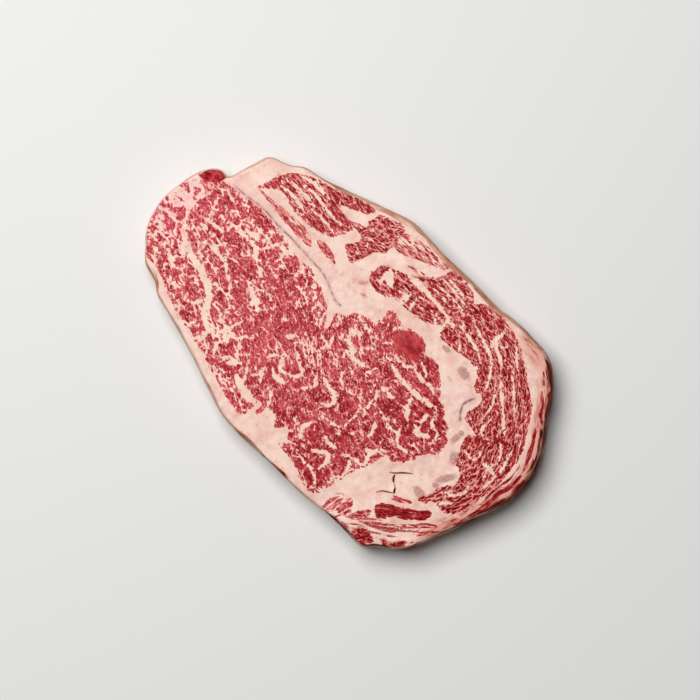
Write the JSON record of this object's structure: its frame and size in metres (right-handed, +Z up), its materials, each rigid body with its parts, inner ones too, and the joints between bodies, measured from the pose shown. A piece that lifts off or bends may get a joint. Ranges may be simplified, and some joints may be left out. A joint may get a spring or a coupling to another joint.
{
  "type": "raw beef steak",
  "caption": "Raw boneless rib steak lying flat: heavily marbled eye, seam of fat, curled cap and a rim of cover fat on an uneven trimmed wall.",
  "frame": {"origin": "middle of the underside, on the surface that the steak lies on", "axes": "+X along the length, from the chine end to the cap end; +Y across, towards the back fat; +Z up, out of the cut face"},
  "size_m": [0.2108, 0.1256, 0.0236],
  "materials": {
    "raw_beef": "moist satin"
  },
  "bodies": {
    "root": {"steak": "raw_beef"}
  },
  "joints": []
}
